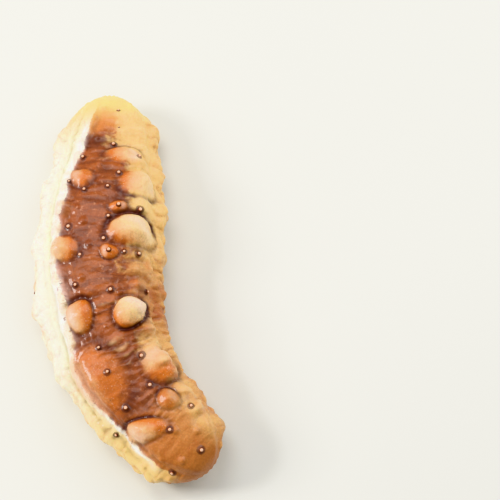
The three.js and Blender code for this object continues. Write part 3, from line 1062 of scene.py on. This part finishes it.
def shape_flesh(skin):
    """The ridge and the grooves along the body, the lumps, and the folds and creases across it."""
    place, around, slow, quick = skin.place, skin.around, skin.slow, skin.quick
    on_top = skin.full * smooth(place, 6, 30) * (1 - smooth(place, 318, 340))
    swell = 0.6 + 0.8 * hump(place, 165, 60) + 0.35 * waves(place, SWELL_LENGTH, 4 * slow)
    skin.push(on_top * swell * bell(skin.past_brim, RIDGE) * (1 + 0.6 * quick))
    skin.push(on_top * bell(skin.past_brim, RIDGE_FOOT))
    for groove in FLANK_GROOVES:
        skin.push(on_top * bell(skin.past_brim, groove) * (1 + 0.6 * slow))
    skin.push(on_top * bell(around + 1.5 * skin.wander, HOLLOW_ROLL))
    skin.push(on_top * bell(around, GATHERS) * waves(place, GATHER_LENGTH, 3.5 * slow + 1.5 * quick))

    creases = np.abs(waves(place, CREASE_LENGTH, 2.6 * slow + 1.1 * quick))
    sideways = hump(np.abs(around - 90), 78, 26)
    skin.fold = skin.full * sideways * (1 - creases) ** 3 * smooth(quick, -0.5, 0.2)
    skin.push(-CREASE_DEPTH * skin.fold)
    lumps = sum(high * grown for high, grown in zip(LUMP_HEIGHTS, (slow, quick, skin.fine)))
    folds = FOLD_HEIGHT * waves(place, FOLD_LENGTH, 3 * quick + 2 * slow) * smooth(slow, -0.15, 0.3)
    folds *= 0.5 + 0.5 * smooth(place, 40, 80)
    bend_folds = BEND_FOLD_HEIGHT * waves(place, BEND_FOLD_LENGTH, 2.5 * quick) * hump(place, 110, 55)
    bend_folds *= smooth(np.cos(np.radians(around)), 0.5, 0.95)
    skin.push((lumps + folds + bend_folds) * skin.full * blend(0.45, 1, skin.upper))


def shape_hollows(skin):
    """The hollows of the back. What stands out or lies low up to here is shaded as relief."""
    for along_mm, side, long, broad, strength in HOLLOWS:
        near, _, t, _, out = skin.patch(along_mm, side, long, broad, along_mm)
        dip = np.exp(-1.6 * t**2) * (1 - smooth(t, 1.1, 1.5)) * strength
        skin.push_patch(near, out, -dip * HOLLOW_DEPTH)
        skin.mark("hollow", near, dip)
    risen = np.einsum("ij,ij->i", skin.moved, skin.out) / (FULL_RELIEF * MM)
    skin.relief = risen * blend(0.3, 1, skin.upper)


def shape_warts(skin):
    """The large warts, each with its crease, its warm side, a painted highlight on its bright side, and a
    low nipple.
    """
    for seed, (*form, pale, tone, crease, shaded, warm, askew) in enumerate(WARTS, 1):
        spot, side, long, broad, _, ball = form
        near, t, direction = skin.raise_mound(*form, seed, askew)
        skin.crease_beside(near, t, direction, long + broad, crease, shaded - askew)
        direction = direction + math.radians(askew)
        # The warm side and the warmer rim are partly the wart's own tone and partly painted shade
        warmer = np.cos(direction - math.radians(warm))
        tone = tone - 1.1 * np.clip(t, 0, 1) ** 1.3 * np.clip(warmer, -0.3, 1) - 0.2 * smooth(t, 0.5, 1)
        ragged = t + 0.25 * skin.quick[near] + 0.15 * skin.fine[near]
        mask = pale * (1 - smooth(ragged, blend(0.55, 0.86, ball), 1.08))
        # A painted highlight on the wart's bright side, away from its warm side
        skin.mark("glint", near, mask * smooth(-warmer, 0, 0.9) * bell(t, (0.55, 0.3, 0.35 + 0.65 * ball)))
        skin.tone[near] = np.where(mask > skin.wart[near], tone, skin.tone[near])
        skin.mark("wart", near, mask)
        skin.crease[near] *= 1 - smooth(mask, 0.6, 0.95)
        point = 0.34 * min(long, broad)
        near, t, _ = skin.raise_mound(spot, side, point, point, 1.0 * (1 - ball), 0.1)
        skin.tone[near] += 0.25 * (1 - ball) * (1 - smooth(t, 0.2, 0.9))


def shape_fringe(skin):
    """The blunt papillae of the lower edges, with the bumps round them and painted shade round their roots.
    """
    for seed, (spot, side, long, broad, high, sink) in enumerate(fringe_papillae(skin.loaf), 31):
        skin.raise_mound(spot, side, 1.1 * long, 1.15 * broad, high, 1 - 2 * sink, seed)
        for (shift, wide), angle in zip(FRINGE_BUMPS, FRINGE_BUMP_ANGLES[side]):
            rise = FRINGE_BUMP_RISE * wide
            near, t, _ = skin.raise_mound(spot + shift * long, angle, wide, wide, rise, 0.2, seed)
            skin.mark("nub", near, 1.1 - smooth(t, 0.2, 0.9))
            # Painted shade round the bump's root
            skin.mark("stain", near, hump(t, 1.05, 0.28))


def shape_papillae(skin, sizes, papillae):
    """The small papillae of the back and the plain ones of the flanks."""
    ringed, low, plain = papillae
    for spot, side, grown in ringed + low:
        width = sizes.small_width / MM * grown
        skin.raise_mound(spot, side, width, width, sizes.small_height / MM * grown, 0.15)
    for spot, side, grown in ringed:
        near, flat, _, _, _ = skin.patch(spot, side, RING_PATCH * grown, RING_PATCH * grown)
        skin.ring[near] = np.minimum(skin.ring[near], np.linalg.norm(flat, axis=1) / grown)
    for spot, side, grown in plain:
        width = sizes.flank_width / MM * grown
        lower = max(float(smooth(side, 145, 176)), float(side < 90))
        high = sizes.flank_height / MM * grown * blend(0.35, 1, lower)
        near, t, _ = skin.raise_mound(spot, side, width, width, high, 0.25, spot)
        skin.mark("nub", near, (1 - smooth(t, 0.1, 0.75)) * (0.35 if side > 90 else 0.8))


def shape_openings(skin):
    """The round pits of the mouth and the vent, with a raised, pleated lip."""
    for spot, side, radius, depth, lip, pleats in (MOUTH, VENT):
        near, _, t, direction, out = skin.patch(spot, side, 2 * radius, 2 * radius)
        skin.push_patch(near, out, hump(t, 1.12, 0.2) * lip - (1 - smooth(t, 0.55, 1.0)) * depth)
        fade = smooth(t, 0.3, 0.9) * (1 - smooth(t, 1.2, 1.6))
        fold = np.cos(pleats * direction + 2 * skin.quick[near]) * fade
        skin.push_patch(near, out, 0.4 * fold)
        skin.mark("pit", near, 1 - smooth(t + 0.1 * fold, 0.6, 1.3))


def even_spread(measure, shares):
    """Where the given shares of a measured path lie, for a path given as positions and lengths."""
    positions, lengths = measure
    walked = np.concatenate([[0], np.cumsum(lengths)])
    return np.interp(np.asarray(shares) * walked[-1], walked, positions)


def meridian(loaf):
    """Positions from head to tail, with the length of skin between them."""
    along = np.linspace(0, loaf.body.length, 1400)
    half, top, _, _ = loaf.section(along)
    return along, np.sqrt(np.diff(along) ** 2 + np.diff(half) ** 2 + (np.diff(top) / 2) ** 2)


def girth(loaf):
    """Angles round the body, with the length of skin between them, less of it on the sole."""
    around = np.linspace(0, 360, 1441)
    at = loaf.surface(np.full(len(around), 0.6 * loaf.body.length), around)
    lengths = np.linalg.norm(np.diff(at, axis=0), axis=1)
    middles = (around[1:] + around[:-1]) / 2
    return around, lengths * np.where((middles > 200) & (middles < 340), 0.5, 1.0)


def colour_skin(piece, skin):
    """Writes the fields that the skin's material reads. Places along the body are in millimetres, and
    angles round it in degrees."""
    loaf, place, around, wander, past_brim = skin.loaf, skin.place, skin.around, skin.wander, skin.past_brim
    above = np.sin(np.radians(around))
    flank = smooth(past_brim, -5, 6) * (1 - smooth(around, 330, 345))
    at_head = 16 * smooth(place, 268, 300)
    edge = np.maximum(1 - smooth(around + 2.5 * wander - at_head, 38, 92), smooth(around, 330, 345))
    breadth = 4.5 + 6.0 * hump(place, 158, 34)
    # Painted highlight along the ridge of the shoulder and along a line of the lower flank
    ridge_highlight = hump(past_brim, breadth, breadth) * smooth(place, 20, 50) * (1 - smooth(place, 300, 320))
    rim_highlight = 0.5 * hump(around + 0.4 * wander, 167, 8) * smooth(place, 95, 150) * (1 - smooth(place, 280, 315))
    tick = hump(past_brim, 4, 7, 4) * smooth(place, 30, 60) * (1 - smooth(place, 210, 260))
    head_side = np.maximum(1 - smooth(around + 2 * wander, 40, 98), smooth(around, 300, 345))
    lower_sides = np.maximum(smooth(around + wander, 174, 190), smooth(around + wander, 318, 345))

    half = np.maximum(loaf.section(skin.along)[0], MM)
    from_spine = skin.base - np.pad(loaf.spine(skin.along), ((0, 0), (0, 1)))
    turn = loaf.heading(skin.along)
    across = from_spine[:, 0] * np.cos(turn) - from_spine[:, 1] * np.sin(turn)
    band = sum(hump(across / MM, middle, 8, 4) for middle in FOOT_BANDS)
    unbent = np.stack([across, skin.base[:, 2], skin.along], 1)
    layer = piece.data.attributes.new("unbent", "FLOAT_VECTOR", "POINT")
    layer.data.foreach_set("vector", unbent.astype(np.float32).ravel())

    for name, values in {
        "flank": flank,
        "edge": edge,
        "groove": 0.9 * hump(past_brim, 19, 4.5) * flank,
        "yellowing": np.clip(1 - smooth(place + 2 * wander, 50, 135) + smooth(place, 280, 345), 0, 1),
        "edge_tone": np.interp(place + 1.5 * wander, *zip(*EDGE_TONE)),
        "ridge_highlight": np.maximum(ridge_highlight, rim_highlight) * (1 - 0.5 * skin.wart),
        "tick": tick,
        "wart": skin.wart,
        "tone": skin.tone,
        "glint": skin.glint,
        "crease": np.clip(skin.crease, 0, 1.2) * (1 - 0.8 * flank) * smooth(above, -0.1, 0.2),
        "hollow": skin.hollow * (1 - flank),
        "nub": skin.nub,
        "pit": skin.pit,
        "fold": skin.fold * np.maximum(smooth(around, 155, 180), smooth(-around, -40, -10)),
        "low": lower_sides * (1 - smooth(-above, 0.72, 0.92)),
        "under": smooth(around + 0.8 * wander, 169, 192),
        "stain": skin.stain * np.maximum(smooth(around, 168, 184), smooth(-around, -30, -12)),
        "relief": skin.relief,
        "ring_distance": skin.ring,
        "head": 1 - smooth(place + 1.4 * wander, 30, 78),
        # Painted light on the hollow side of the head
        "head_side_light": smooth(place + wander, 6, 34) * head_side,
        "tail": smooth(place + 1.4 * wander, 296, 322),
        "tail_middle": hump(around, 96, 26) * (1 - smooth(place, 322, 340)),
        "head_tip": 1 - smooth(place + 0.8 * wander, 3, 34),
        "tail_tip": smooth(place + 0.8 * wander, 314, 338),
        "sole": smooth(-above, 0.55, 0.9),
        "foot_band": np.clip(band, 0, 1) * (1 - smooth(np.abs(across) / half, 0.8, 0.95)),
    }.items():
        set_attribute(piece, name, values)


class CUCUMBER_OT_skin(bpy.types.Operator):
    """Shapes the one skin of the body, with its warts and folds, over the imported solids"""

    bl_idname = "cucumber.skin"
    bl_label = "Skin"

    def execute(self, context):
        scene = context.scene
        body = scene.cucumber_body
        loaf = Loaf(body)
        deselect_all()
        bpy.ops.mesh.primitive_uv_sphere_add(segments=body.sides, ring_count=body.rings, radius=1)
        piece = context.object
        piece.name = piece.data.name = "skin"
        piece.data.uv_layers[0].name = "OFBake"
        ball = vertex_places(piece)
        from_head = np.arccos(np.clip(ball[:, 2], -1, 1)) / np.pi
        from_side = np.arctan2(ball[:, 1], ball[:, 0]) / (2 * np.pi) % 1

        skin = Skin(loaf, even_spread(meridian(loaf), from_head), even_spread(girth(loaf), from_side))
        shape_flesh(skin)
        shape_hollows(skin)
        shape_warts(skin)
        shape_fringe(skin)
        shape_papillae(skin, scene.cucumber_warts, all_papillae(loaf, scene.cucumber_stage))
        shape_openings(skin)
        places = skin.base + skin.moved
        places[:, 2] = np.maximum(places[:, 2], LOWEST_SKIN * body.foot_length)
        move_vertices(piece, places)

        colour_skin(piece, skin)
        finish_piece(piece, skin_material(scene.cucumber_colours), FLESH_NODES)
        return {"FINISHED"}


# How deep a tip is rooted and from how far out the skin under it is sought, in millimetres, and within
# how many degrees it leans
TIP_ROOT = 1.4
TIP_SEEK = 20
TIP_LEAN = 24
TIP_SEED = 5


class CUCUMBER_OT_papilla_tips(bpy.types.Operator):
    """Sets the pale tip on each papilla that has a dark ring"""

    bl_idname = "cucumber.papilla_tips"
    bl_label = "Papilla Tips"

    def execute(self, context):
        scene = context.scene
        warts = scene.cucumber_warts
        loaf = Loaf(scene.cucumber_body)
        radius = warts.tip_width / 2 / MM
        high = warts.tip_height / MM
        model = turned("papilla_tip", [
            (2.2 * radius, -TIP_ROOT), (2.0 * radius, -0.4 * high), (1.55 * radius, -0.05 * high),
            (1.2 * radius, 0.35 * high), (0.8 * radius, 0.75 * high), (0.3 * radius, high),
        ], 10)
        apply_subdivision(model, 1)
        set_height_attribute(model, -0.1 * high, 0.95 * high)
        matrices = []
        draw = Draw(TIP_SEED)
        ringed = all_papillae(loaf, scene.cucumber_stage)[0]
        on_warts = [(*WARTS[index][:2], TIP_ON_WART) for index in TIPPED_WARTS]
        body = bpy.data.objects["skin"]
        for place, side, grown in ringed + on_warts:
            at, across, out, forward = loaf.spot(place, side)
            found, top, _, _ = body.ray_cast(Vector(at + out * TIP_SEEK * MM), Vector(-out))
            if not found:
                raise RuntimeError(f"no skin under the papilla at {place:.0f} mm")
            lean = Matrix.Rotation(math.radians(TIP_LEAN * (draw() - 0.5)), 4, "X")
            matrices.append(basis(across, out, forward, top) @ lean @ Matrix.Scale(grown, 4))
        piece = copies("papilla_tips", model, matrices)
        finish_piece(piece, tip_material(scene.cucumber_colours))
        return {"FINISHED"}


# The bands of tube feet, by their place across the body in millimetres, and the rows of a band, counted
# from its middle. Then where the rows start and end before the tips, how far a foot strays from its row,
# the share of the body's half width that has feet, and how far the sole may rise over them
FOOT_BANDS = (-24, 0, 24)
FEET_ROWS = (-1.5, -0.5, 0.5, 1.5)
FEET_ENDS = (24, 20)
FEET_SCATTER = 1.2
FEET_REACH = 0.78
FEET_RISE = 2
FEET_SEED = 3


class CUCUMBER_OT_tube_feet(bpy.types.Operator):
    """Sets three bands of tube feet on the sole, each ending in a flat sucker on the floor"""

    bl_idname = "cucumber.tube_feet"
    bl_label = "Tube Feet"

    def execute(self, context):
        scene = context.scene
        body = scene.cucumber_body
        feet = scene.cucumber_feet
        loaf = Loaf(body)
        sucker, stalk = feet.sucker_radius / MM, feet.radius / MM
        model = turned("tube_foot", [
            (sucker, 0), (0.95 * sucker, 0.5), (1.05 * stalk, 1.3), (stalk, 2.4), (1.3 * stalk, 6),
        ], 8)
        set_height_attribute(model, 0, 4)
        draw = Draw(FEET_SEED)
        matrices = []
        first, last = FEET_ENDS
        for band in FOOT_BANDS:
            for index, row in enumerate(FEET_ROWS):
                along = first * MM + (index % 2) * feet.spacing / 2
                while along < body.length - last * MM:
                    half, _, low, _ = loaf.section(np.float64(along))
                    across = band * MM + row * feet.row_gap + FEET_SCATTER * MM * (draw() - 0.5)
                    if abs(across) < FEET_REACH * half and low < body.foot_length + FEET_RISE * MM:
                        turn = float(loaf.heading(along))
                        x, y = loaf.spine(along) + across * np.array((math.cos(turn), -math.sin(turn)))
                        stretch = 0.9 + 0.25 * draw()
                        matrices.append(
                            Matrix.Translation((x, y, 0)) @ Matrix.Diagonal((stretch, stretch, 1, 1))
                        )
                    along += feet.spacing * (0.9 + 0.2 * draw())
        piece = copies("tube_feet", model, matrices)
        colours = scene.cucumber_colours
        finish_piece(piece, soft_material("foot_skin", colours.foot, colours.sole, 0.0012))
        return {"FINISHED"}


# The rings of tentacles: how many, their distance from the middle in millimetres, their size and by how
# many degrees they lean out. The rings of buds on a tentacle: how many, how far out and how far they lean
TENTACLE_RINGS = ((12, 10.4, 1.0, 14), (8, 6.2, 0.8, 3))
BUD_RINGS = ((9, 1.75, 62), (5, 0.95, 30), (1, 0.0, 0))
BUD_LEVEL = 4.1
TENTACLE_ROOT = 2.2
TENTACLE_SEED = 11


class CUCUMBER_OT_mouth(bpy.types.Operator):
    """Builds the disc round the mouth and the drawn-in tentacles with their shields"""

    bl_idname = "cucumber.mouth"
    bl_label = "Mouth"

    def execute(self, context):
        scene = context.scene
        loaf = Loaf(scene.cucumber_body)
        colours = scene.cucumber_colours
        at, across, out, forward = loaf.spot(*MOUTH[:2])
        stand = basis(across, out, forward, at)
        disc = turned("oral_disc", [
            (9, -8), (13, -5), (13.4, -2.6), (11, -2.0), (6, -1.9), (4, -1.5), (3, -1.9), (2.2, -4),
            (0.8, -5),
        ], 36)
        apply_subdivision(disc, 1)
        pleat(disc, 20, 0.35, (1.5, 5), -3.5)
        set_height_attribute(disc, -4, -1)
        disc.data.transform(stand)

        stalk = turned("stalk", [
            (1.5, -2.4), (1.3, 0), (1.1, 2.2), (1.7, 3.2), (1.9, 3.9), (1.2, 4.5),
        ], 10)
        bud = turned("bud", [(0.45, -0.6), (0.62, 0.1), (0.6, 0.7), (0.3, 1.1)], 8)
        buds = []
        for number, radius, lean in BUD_RINGS:
            for index in range(number):
                spin = Matrix.Rotation(2 * math.pi * index / number + radius, 4, "Z")
                tilt = Matrix.Rotation(math.radians(lean), 4, "Y")
                buds.append(spin @ Matrix.Translation((radius * MM, 0, BUD_LEVEL * MM)) @ tilt)
        tentacle = joined("tentacle", [stalk, copies("shield", bud, buds)])
        apply_subdivision(tentacle, 1)
        set_height_attribute(tentacle, 0, 5)
        matrices = []
        draw = Draw(TENTACLE_SEED)
        for ring, (number, radius, grown, splay) in enumerate(TENTACLE_RINGS):
            for index in range(number):
                turn = 2 * math.pi * (index + ring / 2) / number + 0.12 * (draw() - 0.5)
                lean = math.radians(splay + 14 * (draw() - 0.5))
                foot = Matrix.Translation((radius * MM, 0, -TENTACLE_ROOT * MM))
                grow = Matrix.Scale(grown * (0.9 + 0.15 * draw()), 4)
                matrices.append(
                    stand @ Matrix.Rotation(turn, 4, "Z") @ foot @ Matrix.Rotation(-lean, 4, "Y") @ grow
                )
        tentacles = copies("tentacles", tentacle, matrices)
        piece = joined("mouth_parts", [disc, tentacles])
        flesh = soft_material("mouth_flesh", colours.mouth, colours.tentacle, 0.0016)
        finish_piece(piece, flesh, ("mouth",))
        return {"FINISHED"}


# How far the vent's ring sits over the tail's tip in millimetres, and by how many degrees it looks up
VENT_RISE = 0.8
VENT_TILT = 8


class CUCUMBER_OT_vent(bpy.types.Operator):
    """Builds the puckered ring of the vent at the tail's tip"""

    bl_idname = "cucumber.vent"
    bl_label = "Vent"

    def execute(self, context):
        scene = context.scene
        loaf = Loaf(scene.cucumber_body)
        colours = scene.cucumber_colours
        body = scene.cucumber_body
        tip = loaf.surface(np.array([body.length]), np.array([0.0]))[0]
        stand = (
            Matrix.Translation(tip + np.array([0, 0, VENT_RISE * MM]))
            @ Matrix.Rotation(-body.tail_heading, 4, "Z")
            @ Matrix.Rotation(math.radians(VENT_TILT - 90), 4, "X")
        )
        ring = turned("vent_folds", [
            (5.4, -7.5), (6.0, -5.0), (5.4, -3.2), (4.4, -2.1), (3.3, -1.9), (2.3, -2.4), (1.4, -3.6),
            (0.9, -5.2), (0.4, -5.8),
        ], 40)
        ring.data.name = ring.name
        apply_subdivision(ring, 1)
        far = pleat(ring, 11, 0.55, (0.6, 3), -5.5, 0.9)
        set_attribute(ring, "high", smooth(far, 0.8 * MM, 4.5 * MM))
        ring.data.transform(stand)
        # The dark of the vent's hollow is painted shade
        flesh = soft_material("vent_flesh", colours.crease, colours.tail_warm, 0.0016)
        finish_piece(ring, flesh, ("vent",))
        return {"FINISHED"}


def floor_material(colour_of_floor):
    paint = Paint("studio_floor")
    cloud = paint.noise(0.4, paint.place(), detail=2)
    base = paint.mix(cloud, [0.97 * light for light in colour_of_floor], colour_of_floor)
    roughness = 0.62 + 0.06 * paint.noise(0.05, paint.place())
    return paint.finish(base, roughness, None, {"Specular IOR Level": 0.3})


# The floor's width in metres. Lights: where each stands from the middle of the animal, its width, its
# power and its colour. The air's light: its colour and its strength
FLOOR_WIDTH = 8
LIGHTS = {
    "key": ((-0.95, 0.25, 0.75), 0.45, 16.5, (1.0, 0.98, 0.94)),
    "fill": ((0.95, 0.35, 0.8), 1.0, 10.5, (1.0, 0.99, 0.97)),
    "top": ((-0.1, 0.6, 1.25), 0.8, 7.0, (1.0, 1.0, 0.98)),
}
AIR_COLOUR = (0.99, 0.98, 0.96, 1)
AIR_STRENGTH = 0.45


class CUCUMBER_OT_stage(bpy.types.Operator):
    """Lays the pale floor and sets the soft lights and the camera"""

    bl_idname = "cucumber.stage"
    bl_label = "Stage"

    def execute(self, context):
        scene = context.scene
        stage = scene.cucumber_stage
        deselect_all()
        bpy.ops.mesh.primitive_plane_add(size=FLOOR_WIDTH, location=(0, 0, 0))
        floor = context.object
        floor.name = floor.data.name = "studio_floor"
        floor.data.materials.append(floor_material(stage.floor))

        for name, (place, width, power, tint) in LIGHTS.items():
            deselect_all()
            bpy.ops.object.light_add(type="AREA", location=place)
            lamp = context.object
            lamp.name = name
            lamp.rotation_euler = Vector(place).to_track_quat("Z", "Y").to_euler()
            lamp.data.size = width
            lamp.data.energy = power
            lamp.data.color = tint
        scene.view_settings.view_transform = "Khronos PBR Neutral"
        world = bpy.data.worlds.new("studio_air")
        scene.world = world
        world.use_nodes = True
        air = world.node_tree.nodes["Background"]
        air.inputs["Color"].default_value = AIR_COLOUR
        air.inputs["Strength"].default_value = AIR_STRENGTH

        right, up, back, distance = view_of(stage)
        deselect_all()
        bpy.ops.object.camera_add(location=Vector((stage.look_x, stage.look_y, 0)) + back * distance)
        camera = context.object
        camera.rotation_euler = Matrix((right, up, back)).transposed().to_euler()
        camera.data.lens = stage.lens
        camera.data.sensor_width = SENSOR_WIDTH
        camera.data.clip_start = 0.05
        camera.data.clip_end = 20
        scene.camera = camera
        return {"FINISHED"}


OPERATORS = (
    CUCUMBER_OT_skin, CUCUMBER_OT_papilla_tips, CUCUMBER_OT_tube_feet,
    CUCUMBER_OT_mouth, CUCUMBER_OT_vent, CUCUMBER_OT_stage,
)
SETTINGS = {
    "cucumber_body": BodySettings,
    "cucumber_warts": WartSettings,
    "cucumber_colours": SkinColours,
    "cucumber_feet": FootSettings,
    "cucumber_stage": StageSettings,
}


class CUCUMBER_PT_panel(bpy.types.Panel):
    """Lists the pieces in the order in which they are made"""

    bl_idname = "CUCUMBER_PT_panel"
    bl_label = "Sea Cucumber"
    bl_space_type = "VIEW_3D"
    bl_region_type = "UI"
    bl_category = "Sea Cucumber"

    def draw(self, context):
        column = self.layout.column()
        for name, group in SETTINGS.items():
            box = column.box()
            for key in group.__annotations__:
                box.prop(getattr(context.scene, name), key)
        for operator in OPERATORS:
            column.operator(operator.bl_idname)


def register():
    for made in (*SETTINGS.values(), *OPERATORS, CUCUMBER_PT_panel):
        bpy.utils.register_class(made)
    for name, group in SETTINGS.items():
        setattr(bpy.types.Scene, name, PointerProperty(type=group))


def unregister():
    for name in SETTINGS:
        delattr(bpy.types.Scene, name)
    for made in reversed((*SETTINGS.values(), *OPERATORS, CUCUMBER_PT_panel)):
        bpy.utils.unregister_class(made)


def main():
    register()
    for operator in OPERATORS:
        group, name = operator.bl_idname.split(".")
        getattr(getattr(bpy.ops, group), name)()


if __name__ == "__main__":
    main()
